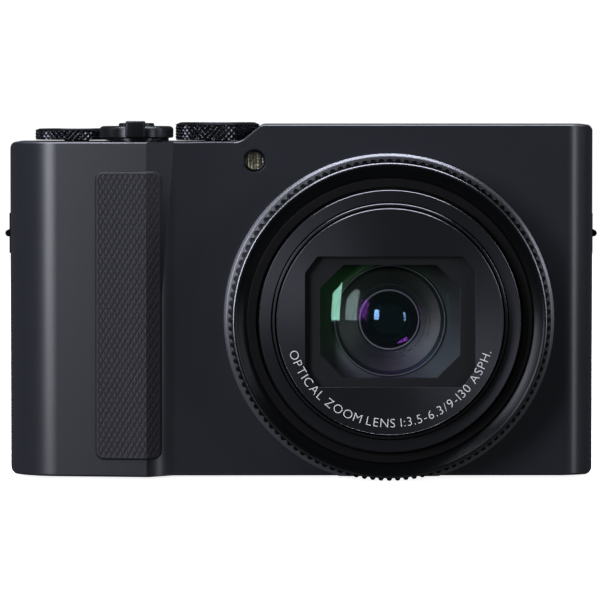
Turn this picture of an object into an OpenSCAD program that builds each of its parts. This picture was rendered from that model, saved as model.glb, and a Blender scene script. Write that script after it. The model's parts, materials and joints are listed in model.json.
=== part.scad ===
// Compact digital camera with a long retracting zoom, as separate pieces.
// Millimetres. +X is the right-hand side of the front view, -Y the front, +Z up.
// The origin is under the middle of the whole camera, at the lowest ring tooth.

/* [Body] */
// Width of the covers, without the strap lugs
body_w = 110.8; // [109:0.2:112]
// Height of the lower top plate above the base
body_h = 63.1; // [62.5:0.1:64]
// How far the raised top housing stands above the lower plate
raised_h = 3.3; // [3:0.1:3.5]
// Distance of the front face from the origin, to the front
front_d = 9; // [8.8:0.1:9.2]
// Distance of the rear face from the origin, to the rear
rear_d = 19.6; // [19.4:0.1:19.8]
// Wall thickness of the covers
wall = 1.2; // [1:0.1:1.3]
// Gap at the seams between covers
seam = 0.1; // [0.06:0.02:0.14]
// Radius of the rounded corners of the front outline
outline_r = 1.4; // [0.8:0.1:1.6]
// Radius at the foot of the slope between the two decks
foot_r = 3.5; // [2:0.5:4]

/* [Grip] */
// How far the crest of the grip stands in front of the front face
grip_d = 4.5; // [4:0.1:4.8]
// Position of the crest of the grip across the body
crest_x = -29.1; // [-29.6:0.1:-28.6]
// Width of the rubber pad
pad_w = 12.6; // [12:0.1:13]
// Height of the rubber pad
pad_h = 54.4; // [52:0.2:56]
// How far the pad stands proud
pad_t = 0.6; // [0.4:0.1:0.8]

/* [Lens] */
// Position of the lens axis across the body
lens_x = 16.6; // [16.4:0.1:16.9]
// Radius over the teeth of the control ring
ring_r = 30.3; // [30.2:0.05:30.4]
// Depth of the teeth
tooth_d = 0.5; // [0.4:0.1:0.7]
// Number of teeth on the control ring
ring_teeth = 120; // [96:12:144]
// Radius of the fixed flange behind the control ring
flange_r = 31.2; // [31:0.1:31.4]
// Radius of the largest sliding barrel
outer_r = 24.5; // [24.4:0.1:24.6]
// Radius of the middle barrel
middle_r = 22; // [21.95:0.05:22.1]
// Radius of the smallest barrel
front_r = 21.2; // [21.1:0.05:21.25]
// Length of each sliding barrel
barrel_l = 25; // [24:0.5:25]
// Width and height of the window in the name ring
window = [31.7, 24.3]; // [20:0.1:34]
// Width and height of the opening in the inner baffle
baffle = [26.1, 21.1]; // [18:0.1:28]
// Radius of the front lens
front_glass_r = 15.4; // [15:0.1:15.6]
// Radius of the inner lens
glass_r = 10.4; // [10:0.1:10.6]

/* [Top controls] */
// Radius of the mode dial
mode_r = 8.1; // [7.9:0.1:8.3]
// Radius of the rear dial
dial_r = 8; // [7.8:0.1:8.2]
// Radius of the zoom lever
lever_r = 7; // [6.8:0.1:7.1]
// Radius of the shutter button
release_r = 3.4; // [3.2:0.1:3.5]

/* [Rear] */
// Width and height of the screen glass
screen = [65.6, 48.6]; // [46:0.1:68]
// Radius of the round rear buttons
button_r = 2.3; // [2:0.1:2.5]
// Radius of the four-way pad
pad_r = 9; // [8.5:0.1:9.4]

/* [Hidden] */
$fn = 96;
fine = 0.01;
seat = 0.03;
base_z = 0.55;
top_z = base_z + body_h;
raised_z = top_z + raised_h;
front_y = -front_d;
rear_y = rear_d;
half_w = body_w / 2;
split_y = 7.5;
lens_z = ring_r;
inner_y = rear_y - wall;
stem_z = 60.2;
slope_x = [-11.55, -7.45];
far = 100;

// fronts of the lens pieces, along Y
ring_y = [-18.6, -11.2];
knurl_y = -14.8;
flange_y = front_y - 2;
sleeve_r = 26.4;
sleeve_y = -17.3;
bore_r = outer_r + 0.1;
outer_y = -20;
middle_y = -20.8;
name_y = -22.6;
name_t = 0.6;
blade_t = 0.3;
blade_y = [-21.9, -21.4];
baffle_y = -21;
cell_t = 0.8;
rod_off = 11;
back_y = 8;

// plan positions of the top controls
mode_at = [-15.95, 3.5];
release_at = [-31.2, -4.5];
dial_at = [-43.2, 9.9];
movie_at = [-27.3, 4.8];
power_at = [-30, 12.6];

// positions of the rear controls, as [x, z]
pad_at = [-32.5, 25];
screen_at = [19, 30.9];
play_at = [-21, 41.5];
function_at = [-44, 41.5];
delete_at = [-45, 9.5];
display_at = [-20.5, 9.5];
eye_at = [42, 61.5];
diopter_at = [29.3, 61.5];
finder_at = [22, 61.5];
flash_switch_at = [6, 61.5];

// battery compartment
door_x = [-50.9, -15.7];
door_y = [-6.3, 11.3];
hinge_x = -16.9;
hinge_z = base_z + 1.1;
socket_at = [-6.5, 4];
socket_r = 3.175;

// side door over the terminals
side_y = [9, 15.2];
side_z = [18.2, 39.8];
side_hinge = [-54.5, 9.8];

// pop-up flash
flash_x = [4, 24];
flash_y = [-3, 9];
flash_t = 6;
arm_pivot = [8, 59.65];
arm_l = 9;

charcoal = "#2a2c30";
black = "#17181a";
rubber = "#1f1e22";
steel = "#b9bcc0";
glass = "#5a4a86";
board = "#1d5a3a";

// ---- shared shapes ----

function arc(centre, r, from, to, steps = 8) =
    [for (i = [0:steps]) let (a = from + (to - from) * i / steps)
        centre + r * [cos(a), sin(a)]];

// Toothed outline of n teeth, each centred on a multiple of the pitch
function toothed(n, tip, root) =
    [for (i = [0:n - 1], k = [-0.32, -0.16, 0.16, 0.32])
        let (a = 360 / n * (i + k), r = abs(k) < 0.2 ? tip : root)
            r * [cos(a), sin(a)]];

// Block between two limits on each axis
module block(x, y, z)
    translate([x[0], y[0], z[0]]) cube([x[1] - x[0], y[1] - y[0], z[1] - z[0]]);

// Round bar or disc along Y at [x, z]
module disc_y(at, y, r)
    translate([at[0], y[0], at[1]]) rotate([-90, 0, 0]) cylinder(h = y[1] - y[0], r = r);

// Round bar or disc along Z at [x, y]
module disc_z(at, z, r)
    translate([at[0], at[1], z[0]]) cylinder(h = z[1] - z[0], r = r);

// Solid turned about the lens axis, from a profile of [radius, y]
module lens_turn()
    translate([lens_x, 0, lens_z]) rotate([-90, 0, 0]) rotate_extrude() children();

// Profile of a plain tube
module tube(r, y) translate([r[0], y[0]]) square([r[1] - r[0], y[1] - y[0]]);

module rounded(size, r) {
    square([size[0] - 2 * r, size[1]], center = true);
    square([size[0], size[1] - 2 * r], center = true);
    for (sx = [-1, 1], sy = [-1, 1])
        translate([sx * (size[0] / 2 - r), sy * (size[1] / 2 - r)]) circle(r);
}

// Front-facing outline given thickness between two depths
module plate_y(at, y)
    translate([at[0], y[1], at[1]]) rotate([90, 0, 0]) linear_extrude(y[1] - y[0]) children();

module chamfered(size, cut)
    polygon([
        [size[0] / 2 - cut[0], size[1] / 2], [size[0] / 2, size[1] / 2 - cut[1]],
        [size[0] / 2, cut[1] - size[1] / 2], [size[0] / 2 - cut[0], -size[1] / 2],
        [cut[0] - size[0] / 2, -size[1] / 2], [-size[0] / 2, cut[1] - size[1] / 2],
        [-size[0] / 2, size[1] / 2 - cut[1]], [cut[0] - size[0] / 2, size[1] / 2]
    ]);

// ---- outlines of the body ----

// Seen from above: grip with its crest at the left, rounded right-hand end
module plan() {
    corner_r = 11;
    end_r = 6;
    rear_r = 4;
    slope_w = 5.05;
    crease_x = half_w - 5.8;
    polygon(concat(
        arc([corner_r - half_w, front_y + 8.65], corner_r, 180, 262),
        [[crest_x, front_y - grip_d], [crest_x + slope_w, front_y], [crease_x, front_y]],
        arc([half_w - end_r, front_y + 6.5], end_r, -66, 0),
        arc([half_w - rear_r, rear_y - rear_r], rear_r, 0, 90),
        arc([rear_r - half_w, rear_y - rear_r], rear_r, 90, 180)
    ));
}

// Seen from the front: low deck at the left, raised housing at the right
module outline() {
    offset(r = -foot_r) offset(delta = foot_r)
        offset(r = outline_r, $fn = 32) offset(delta = -outline_r) polygon([
            [-half_w, base_z], [half_w, base_z], [half_w, raised_z],
            [slope_x[1], raised_z], [slope_x[0], top_z], [-half_w, top_z]
        ]);
}

module plan_block(inset)
    translate([0, 0, -1]) linear_extrude(far) offset(delta = -inset) plan();

module outline_block(inset)
    translate([0, far / 2, 0]) rotate([90, 0, 0])
        linear_extrude(far) offset(delta = -inset) outline();

module wall_ring() {
    intersection() {
        difference() {
            plan_block(0);
            plan_block(wall);
        }
        outline_block(0);
    }
}

// ---- covers ----

module front_cover() {
    opening_r = 27.6;
    color(charcoal) difference() {
        wall_ring();
        block([-far, far], [split_y, far], [-1, far]);
        disc_y([lens_x, lens_z], [-far, 0], opening_r);
        lamp_hole();
        for (side = [-1, 1]) lug_pocket(side);
        side_screw_holes();
    }
}

module rear_cover() {
    glass_gap = 0.1;
    color(charcoal) {
        difference() {
            wall_ring();
            block([-far, far], [-far, split_y + seam], [-1, far]);
            plate_y(screen_at, [0, far]) rounded(screen + 2 * [glass_gap, glass_gap], 1.6);
            plate_y(eye_at, [0, far]) rounded([11.2, 7.8], 1.5);
            for (at = [play_at, function_at, delete_at, display_at])
                disc_y(at, [0, far], button_r + 0.2);
            disc_y(pad_at, [0, far], pad_r + 0.2);
            disc_y(finder_at, [0, far], 2);
            disc_y(diopter_at, [0, far], 1.3);
            plate_y([flash_switch_at[0] + 1, flash_switch_at[1]], [0, far]) square([5.6, 1.8], center = true);
            block([-far, -half_w + 4], [side_y[0] - 0.4, side_y[1] + 0.3],
                [side_z[0] - 0.3, side_z[1] + 0.3]);
        }
        pin_end = 0.6;
        disc_z(side_hinge, [side_z[0] - pin_end, side_z[1] + pin_end], 0.4);
        for (z = [side_z[0] - 1.3, side_z[1] + 0.3])
            block([1.0 - half_w, 2.4 - half_w], [side_y[0] - 0.4, side_y[0] + 2], [z, z + 1]);
    }
}

module top_cover() {
    well_r = mode_r + 0.5;
    hole = 0.1;
    color(charcoal) difference() {
        union() {
            intersection() {
                plan_block(wall + seam);
                difference() {
                    outline_block(0);
                    outline_block(wall);
                    block([-far, far], [-far, far], [-1, top_z - 4]);
                }
            }
            intersection() {
                plan_block(wall + seam);
                outline_block(0);
                disc_z(mode_at, [top_z - wall, far], well_r + wall);
            }
        }
        disc_z(mode_at, [top_z, far], well_r);
        disc_z(mode_at, [0, far], 3 + hole);
        disc_z(dial_at, [0, far], 2.5 + hole);
        disc_z(release_at, [0, far], 5 + hole);
        disc_z(movie_at, [0, far], 2.2);
        block([power_at[0] - 1.7, power_at[0] + 4.2], [power_at[1] - 1.1, power_at[1] + 1.1], [0, far]);
        block([flash_x[0] - 0.3, flash_x[1] + 0.3], [flash_y[0] - 0.3, flash_y[1] + 0.3], [0, far]);
        for (group = [-3.6, 27.6], i = [0:2])
            disc_z([group + 1.5 * i, 13], [0, far], 0.35);
    }
}

module bottom_cover() {
    socket_gap = 5.05;
    color(charcoal) {
        difference() {
            intersection() {
                plan_block(wall + seam);
                difference() {
                    outline_block(0);
                    block([-far, far], [-far, far], [base_z + wall, far]);
                }
            }
            block([door_x[0] - 0.3, door_x[1] + 0.6], [door_y[0] - 0.3, door_y[1] + 0.3], [0, far]);
            disc_z(socket_at, [0, far], socket_gap);
            base_screw_holes();
        }
        for (y = [door_y[0] - 1.3, door_y[1] + 0.3])
            block([hinge_x - 1, hinge_x + 1], [y, y + 1], [base_z + wall, 3]);
        disc_y([hinge_x, hinge_z], [door_y[0] - 0.8, door_y[1] + 0.8], 0.5);
    }
}

module lens_flange()
    color(charcoal) intersection() {
        lens_turn() polygon([
            [sleeve_r + 0.1, front_y], [flange_r, front_y], [flange_r, flange_y + 0.5],
            [flange_r - 0.5, flange_y], [sleeve_r + 0.1, flange_y]
        ]);
        block([-far, far], [-far, 0], [base_z, far]);
    }

module grip_pad() {
    left_x = -38.8;
    mid_z = 31;
    color(rubber) intersection() {
        difference() {
            plan_block(-pad_t);
            plan_block(0);
        }
        plate_y([left_x + pad_w / 2, mid_z], [-far, 0]) rounded([pad_w, pad_h], 1.5);
    }
}

module thumb_pad()
    color(rubber) plate_y([-44, 53], [rear_y, rear_y + 0.8]) rounded([13, 9], 2);

// ---- fixed lens parts ----

module lens_housing() {
    body_r = 27.3;
    lip_r = 26.7;
    light_r = 9.5;
    lip_t = 0.6;
    color(black) lens_turn() {
        tube([bore_r, sleeve_r], [sleeve_y, front_y]);
        tube([bore_r + 0.4, lip_r], [sleeve_y - lip_t, sleeve_y + fine]);
        tube([bore_r, body_r], [front_y, back_y]);
        tube([light_r, body_r], [back_y - fine, back_y + 1.4]);
    }
}

module image_sensor()
    color("#2f6b8f") block([lens_x - 9, lens_x + 9], [back_y + 1.4, back_y + 3.4],
        [lens_z - 7.5, lens_z + 7.5]);

module guide_rods()
    color(steel) for (side = [-1, 1])
        disc_y([lens_x + side * rod_off, lens_z], [-0.5, back_y - seat], 0.7);

// ---- inside the body ----

module chassis_frame()
    color(steel) difference() {
        block([-16, 52], [14.6, 15.4], [4, 56]);
        plate_y([lens_x, lens_z], [0, far]) rounded([30, 26], 3);
        for (x = [-8, 42]) plate_y([x, lens_z], [0, far]) rounded([9, 30], 3);
    }

module main_board()
    color(board) difference() {
        block([-16, 50], [13, 14], [5, 55]);
        for (x = [-13, 47], z = [8, 52]) disc_y([x, z], [0, far], 1.1);
    }

// One board under the top controls and one behind the rear buttons
module switch_boards()
    color(board) {
        block([-52, -4], [-6, 14.5], [58.4, 59.2]);
        block([-51, -16.5], [15.8, 16.6], [4, 55]);
    }

module battery()
    color("#3a3d42") block([-50.8, -18], [-5.8, 4.7], [3.2, 46.2]);

module memory_card()
    color("#22252b") block([-48, -24], [7.2, 9.3], [3.2, 35.2]);

module lcd_module()
    color("#8f9499") block([screen_at[0] - 31, screen_at[0] + 31], [15.8, inner_y - 0.1],
        [screen_at[1] - 23, screen_at[1] + 23]);

module lcd_glass()
    color("#0c0d10") plate_y(screen_at, [inner_y, rear_y + 0.4]) rounded(screen, 1.5);

module eyecup() {
    cup_d = 3;
    color(rubber) difference() {
        plate_y(eye_at, [rear_y, rear_y + cup_d]) rounded([18.4, 9.8], 2.6);
        plate_y(eye_at, [0, far]) rounded([11.2, 7], 1.4);
    }
}

module eyepiece_lens()
    color("#31405a") plate_y(eye_at, [inner_y - 0.6, rear_y + 0.6]) rounded([11, 6.8], 1.3);

lamp_at = [-8.8, 60.1];
lamp_r = 1.96;

module lamp_hole() disc_y(lamp_at, [-far, 0], lamp_r + 0.04);

module focus_lamp()
    color("#4a4a3c") disc_y(lamp_at, [front_y + 0.1, front_y + 2.4], lamp_r);

lug_y = [-0.5, 6.5];
lug_z = [42.4, 50];

module lug_pocket(side) {
    x = side > 0 ? [half_w - 3, far] : [-far, 3 - half_w];
    block(x, [lug_y[0] - fine, lug_y[1] + fine], [lug_z[0] - fine, lug_z[1] + fine]);
}

// A recessed cup with a bar across it, at each end
module strap_lugs() {
    bar_r = 0.65;
    cup_d = 2.6;
    rim = 0.8;
    proud = 0.2;
    color(steel) for (side = [0, 1]) mirror([side, 0, 0]) {
        difference() {
            block([half_w - cup_d, half_w + proud], lug_y, lug_z);
            block([half_w - cup_d + rim, far], lug_y + [rim, -rim], lug_z + [rim, -rim]);
        }
        translate([half_w + 1 - bar_r, 0, (lug_z[0] + lug_z[1]) / 2])
            rotate([-90, 0, 0]) translate([0, 0, lug_y[0]]) cylinder(h = lug_y[1] - lug_y[0], r = bar_r);
        for (y = [lug_y[0], lug_y[1] - rim])
            block([half_w - fine, half_w + 1 - bar_r], [y, y + rim],
                [(lug_z[0] + lug_z[1]) / 2 - bar_r, (lug_z[0] + lug_z[1]) / 2 + bar_r]);
    }
}

module tripod_socket()
    color(steel) difference() {
        disc_z(socket_at, [base_z, base_z + 6.5], 5);
        disc_z(socket_at, [0, base_z + 5.5], socket_r);
    }

module port_sockets()
    color(steel) for (z = [[20.5, 27.5], [31, 37]]) difference() {
        block([-53.2, -48.6], [10.6, 14.8], z);
        block([-far, -49.2], [11.2, 14.2], z + [0.6, -0.6]);
    }

base_screws = [[-46, 14.5], [1.5, 15.5], [32, 15.5], [50, 8]];
side_screws = [12, 56];
screw_r = 0.9;

module base_screw_holes()
    for (at = base_screws) disc_z(at, [0, far], screw_r + 0.02);

module side_screw_holes()
    for (z = side_screws) translate([0, 3, z]) rotate([0, 90, 0])
        cylinder(h = far, r = screw_r + 0.02);

// Small cross-head screws in the base and the right-hand end
module case_screws() {
    length = 3;
    color(steel) {
        for (at = base_screws) difference() {
            disc_z(at, [base_z + 0.15, base_z + length], screw_r);
            screw_slots([at[0], at[1], base_z + 0.15]);
        }
        for (z = side_screws) difference() {
            translate([half_w - length, 3, z]) rotate([0, 90, 0])
                cylinder(h = length - 0.15, r = screw_r);
            translate([half_w - 0.15, 3, z]) rotate([0, -90, 0]) screw_slots([0, 0, 0]);
        }
    }
}

module screw_slots(at)
    for (turn = [0, 90]) translate(at) rotate([0, 0, turn])
        cube([1.1, 0.22, 0.5], center = true);

module zoom_motor()
    color(steel) {
        disc_y([45, 51], [-4, 8], 3.6);
        disc_y([45, 51], [-6.5, -4], 0.8);
    }

module flash_bracket() {
    cheek = 1;
    span = 5.6;
    foot = [56, 58.1];
    mid_x = (flash_x[0] + flash_x[1]) / 2;
    color(steel) {
        difference() {
            block([mid_x - span - cheek, mid_x + span + cheek],
                [arm_pivot[0] - 1.4, arm_pivot[0] + 1.4], foot);
            disc_y([lens_x, lens_z], [0, far], 27.3 + seat);
        }
        for (x = [mid_x - span - cheek, mid_x + span])
            block([x, x + cheek], [arm_pivot[0] - 1.4, arm_pivot[0] + 1.4],
                [foot[1] - fine, arm_pivot[1] + 1.1]);
        translate([mid_x - span - cheek, arm_pivot[0], arm_pivot[1]]) rotate([0, 90, 0])
            cylinder(h = 2 * (span + cheek), r = 0.5);
    }
}

// ---- lens pieces that move ----

module control_ring() {
    bore = sleeve_r + 0.1;
    rim = ring_r - tooth_d;
    front_rim = 29.5;
    cone = [26.9, -17.2];
    color(black) {
        translate([lens_x, knurl_y, lens_z]) rotate([-90, 0, 0])
            linear_extrude(ring_y[1] - knurl_y) difference() {
                polygon(toothed(ring_teeth, ring_r, rim));
                circle(bore);
            }
        lens_turn() polygon([
            [bore, knurl_y], [rim, knurl_y], [front_rim, knurl_y - 0.5],
            [front_rim, ring_y[0] + 0.2], [front_rim - 0.2, ring_y[0]],
            [front_rim - 0.5, ring_y[0]], [cone[0], cone[1]], [bore, cone[1]]
        ]);
    }
}

module outer_barrel() {
    barrel_wall = 0.9;
    lip_t = 0.8;
    color(black) lens_turn() {
        tube([outer_r - barrel_wall, outer_r], [outer_y, outer_y + barrel_l]);
        tube([middle_r + 0.2, outer_r], [outer_y, outer_y + lip_t]);
    }
}

module middle_barrel() {
    barrel_wall = 0.5;
    guide_r = outer_r - 1;
    guide_t = 2;
    hub = [12.2, 13];
    rear = middle_y + barrel_l;
    color(black) lens_turn() {
        tube([middle_r - barrel_wall, middle_r], [middle_y, rear]);
        tube([middle_r - barrel_wall, guide_r], [rear - guide_t, rear]);
        tube([hub[0], middle_r], [rear - 1, rear]);
        tube(hub, [-8, rear - 1 + fine]);
    }
}

module front_barrel() {
    barrel_wall = 0.75;
    bulkhead_y = -19.4;
    step_y = -15.8;
    color(black) lens_turn() {
        tube([front_r - barrel_wall, front_r], [name_y + name_t, name_y + name_t + barrel_l]);
        tube([front_glass_r + seat, front_r], [bulkhead_y, bulkhead_y + 1]);
        tube([front_glass_r + seat, front_glass_r + cell_t], [bulkhead_y, step_y + fine]);
        tube([glass_r + seat, front_glass_r + cell_t], [step_y, step_y + 0.8]);
        tube([glass_r + seat, glass_r + cell_t], [step_y, -9.2]);
    }
}

module name_ring() {
    name_r = front_r - 0.1;
    cut = [2.3, 3.1];
    color(black) plate_y([lens_x, lens_z], [name_y, name_y + name_t]) difference() {
        circle(name_r);
        chamfered(window, cut);
    }
}

module lens_baffle() {
    cut = [4.4, 4.4];
    plate_r = front_r - 0.75 - seat;
    color(black) plate_y([lens_x, lens_z], [baffle_y, baffle_y + 0.8]) difference() {
        circle(plate_r);
        chamfered(baffle, cut);
    }
}

// Lens element: y of the two rims, and how far each face bulges outwards
module element(r, y, bulge, steps = 10)
    lens_turn() polygon(concat(
        [for (i = [0:steps]) let (k = i / steps) [r * k, y[0] - bulge[0] * (1 - k * k)]],
        [for (i = [steps:-1:0]) let (k = i / steps) [r * k, y[1] + bulge[1] * (1 - k * k)]]
    ));

module front_lens()
    color(glass) element(front_glass_r, [-18.2, -16.2], [1.8, -1.2]);

module inner_lens()
    color(glass) element(glass_r, [-14, -10.2], [1.2, 0.6]);

module shutter_unit() {
    hole_r = 4.4;
    color("#2c2d31") lens_turn() tube([hole_r, 12.2 - seat], [-7.6, -4.2]);
}

module rear_lens_group() {
    lens_r = 7.4;
    ear_r = 1.7;
    group_y = [4.6, 7.4];
    color(black) difference() {
        union() {
            lens_turn() tube([0, 8.6], group_y);
            for (side = [-1, 1]) intersection() {
                disc_y([lens_x + side * rod_off, lens_z], [group_y[0], group_y[0] + 1.6], ear_r);
                disc_y([lens_x, lens_z], group_y, 12);
            }
            plate_y([lens_x, lens_z], [group_y[0], group_y[0] + 1.6])
                square([2 * rod_off - 1.8, 3], center = true);
        }
        for (side = [-1, 1])
            disc_y([lens_x + side * rod_off, lens_z], [-far, far], 0.75);
    }
    color(glass) element(lens_r, [group_y[0] + fine, group_y[1] - fine], [1.2, 0.4]);
}

// One sliding leaf of the lens barrier: a slice of the disc between two heights
module blade(heights, y) {
    disc_r = front_r - 1.05;
    color(black) intersection() {
        disc_y([lens_x, lens_z], [y, y + blade_t], disc_r);
        block([-far, far], [y, y + blade_t], [lens_z + heights[0], lens_z + heights[1]]);
    }
}

leading = [12.45, 17.5];
trailing = [12.6, 19.6];

module upper_blade() blade(leading, blade_y[0]);
module upper_rear_blade() blade(trailing, blade_y[1]);
module lower_blade() blade([-leading[1], -leading[0]], blade_y[0]);
module lower_rear_blade() blade([-trailing[1], -trailing[0]], blade_y[1]);

// ---- top controls ----

module zoom_lever() {
    bore_hole = release_r + 0.3;
    deck = [top_z + 0.7, top_z + 3];
    tab_w = 4;
    tab_top = top_z + 4;
    reach = 8.1;
    color(black) difference() {
        union() {
            disc_z(release_at, deck, lever_r);
            disc_z(release_at, [top_z + 0.2, deck[0] + fine], lever_r - 0.8);
            disc_z(release_at, [stem_z, top_z + 0.2 + fine], 5);
            block([release_at[0] - tab_w / 2, release_at[0] + tab_w / 2],
                [release_at[1] - reach, release_at[1] - 5.2], [deck[0] + 0.2, tab_top]);
        }
        disc_z(release_at, [0, far], bore_hole);
    }
}

module shutter_button()
    color("#3a3b3f") {
        disc_z(release_at, [top_z + 1.4, top_z + 3.6], release_r);
        disc_z(release_at, [stem_z, top_z + 1.4 + fine], 1.5);
    }

module mode_dial()
    color(black) {
        translate([mode_at[0], mode_at[1], top_z + 0.25]) {
            cylinder(h = 2.9, r = mode_r);
            translate([0, 0, 2.9]) cylinder(h = 0.6, r1 = mode_r, r2 = mode_r - 0.6);
        }
        disc_z(mode_at, [stem_z, top_z + 0.25 + fine], 3);
    }

module rear_dial()
    color(black) {
        translate([dial_at[0], dial_at[1], top_z + 0.25]) {
            cylinder(h = 1.8, r = dial_r);
            translate([0, 0, 1.8]) cylinder(h = 0.4, r1 = dial_r, r2 = dial_r - 0.4);
        }
        disc_z(dial_at, [stem_z, top_z + 0.25 + fine], 2.5);
    }

// Sliding switch: a nub through the top plate on a plate under it
module power_switch()
    color("#3a3b3f") {
        block([power_at[0] - 1.5, power_at[0] + 1.5], [power_at[1] - 0.9, power_at[1] + 0.9],
            [top_z - 1.9, top_z + 0.8]);
        block([power_at[0] - 3.6, power_at[0] + 3], [power_at[1] - 1.7, power_at[1] + 1.7],
            [top_z - 2.5, top_z - 1.5]);
    }

module movie_button()
    color("#3a3b3f") {
        disc_z(movie_at, [top_z - 1, top_z + 0.7], 2);
        disc_z(movie_at, [stem_z, top_z - 1 + fine], 1);
    }

// ---- pop-up flash ----

module flash_head() {
    mid_x = (flash_x[0] + flash_x[1]) / 2;
    pin_y = arm_pivot[0] - arm_l;
    ear_in = 5.6;
    ear_t = 1;
    under = raised_z - flash_t;
    color(charcoal) {
        block(flash_x, flash_y, [raised_z - 1.2, raised_z]);
        block([flash_x[0] + 0.6, flash_x[1] - 0.6], [flash_y[0] + 0.3, flash_y[1] - 2.8],
            [under, raised_z - 1.2 + fine]);
        for (x = [mid_x - ear_in - ear_t, mid_x + ear_in])
            block([x, x + ear_t], [pin_y - 1, pin_y + 1], [arm_pivot[1] - 1, under + fine]);
        translate([mid_x - ear_in - fine, pin_y, arm_pivot[1]]) rotate([0, 90, 0])
            cylinder(h = 2 * (ear_in + fine), r = 0.45);
    }
}

module flash_arm() {
    mid_x = (flash_x[0] + flash_x[1]) / 2;
    half = 5.3;
    ends = [arm_pivot[0] - arm_l, arm_pivot[0]];
    color(steel) difference() {
        union() {
            block([mid_x - half, mid_x + half], ends, [arm_pivot[1] - 0.4, arm_pivot[1] + 0.4]);
            for (y = ends) translate([mid_x - half, y, arm_pivot[1]]) rotate([0, 90, 0])
                cylinder(h = 2 * half, r = 1);
        }
        for (i = [0, 1]) translate([mid_x - far / 2, ends[i], arm_pivot[1]]) rotate([0, 90, 0])
            cylinder(h = far, r = [0.5, 0.55][i]);
    }
}

// ---- rear controls ----

module flash_switch()
    color("#3a3b3f") {
        plate_y(flash_switch_at, [inner_y - 0.2, rear_y + 0.6]) square([3, 1.6], center = true);
        plate_y([flash_switch_at[0] - 0.4, flash_switch_at[1]], [inner_y - 1, inner_y - 0.2 + fine])
            square([6.4, 2.8], center = true);
    }

module diopter_dial()
    color(black) {
        disc_y(diopter_at, [rear_y + 0.2, rear_y + 1.2], 2.4);
        disc_y(diopter_at, [inner_y - 1, rear_y + 0.2 + fine], 1.2);
    }

// Push button: a cap through the rear cover, held by a flange inside it
module push_button(at, r, proud) {
    flange_t = 0.6;
    plate_y(at, [inner_y - 0.2, rear_y + proud]) circle(r);
    plate_y(at, [inner_y - 0.2 - flange_t, inner_y - 0.2 + fine]) circle(r + 0.5);
}

module finder_button() color("#3a3b3f") push_button(finder_at, 1.8, 0.5);
module play_button() color("#3a3b3f") push_button(play_at, button_r, 0.5);
module function_button() color("#3a3b3f") push_button(function_at, button_r, 0.5);
module delete_button() color("#3a3b3f") push_button(delete_at, button_r, 0.5);
module display_button() color("#3a3b3f") push_button(display_at, button_r, 0.5);

module four_way_pad() {
    hole = 3.8;
    color(black) difference() {
        push_button(pad_at, pad_r, 0.7);
        disc_y(pad_at, [-far, far], hole);
    }
}

module set_button()
    color("#3a3b3f") {
        disc_y(pad_at, [inner_y - 0.8, rear_y + 0.6], 3.6);
        disc_y(pad_at, [inner_y - 1.2, inner_y - 0.8 + fine], 2.4);
    }

// ---- doors ----

latch_slot = [[-48.9, -42.9], [0.7, 4.3]];

module battery_door() {
    knuckle_r = 0.95;
    color(charcoal) difference() {
        union() {
            block([door_x[0], door_x[1] - 0.6], door_y, [base_z, base_z + wall]);
            disc_y([hinge_x, hinge_z], door_y, knuckle_r);
        }
        disc_y([hinge_x, hinge_z], [-far, far], 0.55);
        block(latch_slot[0], latch_slot[1], [0, far]);
    }
}

module door_latch()
    color("#3a3b3f") {
        block([-50.9, -43.6], [0.2, 4.8], [base_z + wall + 0.1, 2.9]);
        block([-47.6, -43.6], [0.9, 4.1], [base_z + 0.1, base_z + wall + 0.1 + fine]);
    }

module terminal_door() {
    leaf_t = 1;
    color(charcoal) difference() {
        union() {
            block([-half_w, leaf_t - half_w], [side_hinge[1], side_y[1]], side_z);
            disc_z(side_hinge, side_z, 0.9);
        }
        disc_z(side_hinge, [0, far], 0.45);
    }
}

front_cover();
rear_cover();
top_cover();
bottom_cover();
grip_pad();
thumb_pad();
lens_flange();
lens_housing();
image_sensor();
guide_rods();
chassis_frame();
main_board();
switch_boards();
battery();
memory_card();
lcd_module();
lcd_glass();
eyecup();
eyepiece_lens();
focus_lamp();
strap_lugs();
tripod_socket();
port_sockets();
case_screws();
zoom_motor();
flash_bracket();
control_ring();
outer_barrel();
middle_barrel();
front_barrel();
name_ring();
lens_baffle();
front_lens();
inner_lens();
shutter_unit();
rear_lens_group();
upper_blade();
upper_rear_blade();
lower_blade();
lower_rear_blade();
zoom_lever();
shutter_button();
mode_dial();
rear_dial();
power_switch();
movie_button();
flash_head();
flash_arm();
flash_switch();
diopter_dial();
finder_button();
play_button();
function_button();
delete_button();
display_button();
four_way_pad();
set_button();
battery_door();
door_latch();
terminal_door();
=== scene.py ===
"""A compact digital camera: its finishes, its fine detail and a plain studio."""

import json
import math

import bmesh
import bpy
from mathutils import Matrix, Vector


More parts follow.
